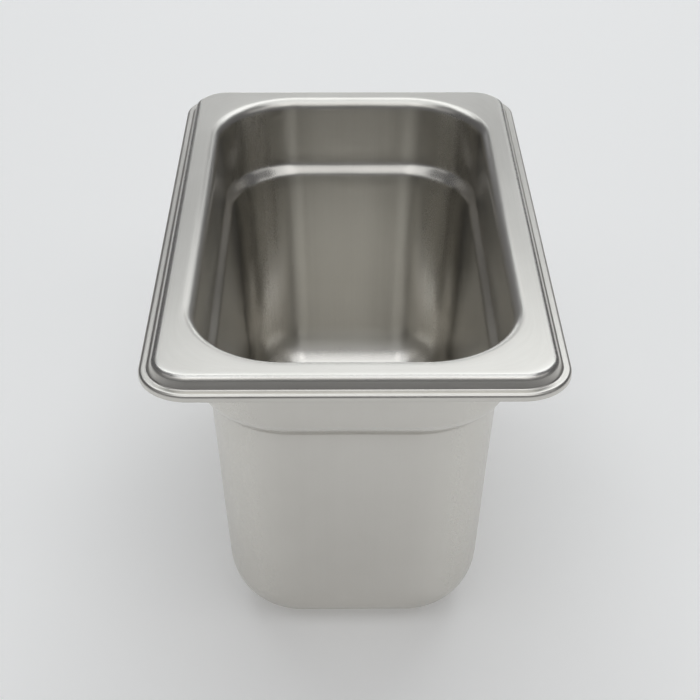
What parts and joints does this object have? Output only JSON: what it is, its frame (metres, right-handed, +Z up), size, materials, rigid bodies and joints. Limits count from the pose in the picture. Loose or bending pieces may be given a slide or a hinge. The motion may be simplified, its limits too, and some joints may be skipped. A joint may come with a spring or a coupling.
{
  "type": "deli food pan",
  "caption": "Deep rectangular steel food pan with a stepped rim, a stacking shoulder, tapered walls with round corners and a flat base.",
  "frame": {"origin": "centre of the flat base, on the surface that the pan stands on", "axes": "+Z up out of the mouth, +Y along the pan's length, +X across its width"},
  "size_m": [0.108, 0.176, 0.1],
  "materials": {
    "steel": "satin stainless steel, drawn and lightly brushed"
  },
  "bodies": {
    "root": {"pan": "steel"}
  },
  "joints": []
}
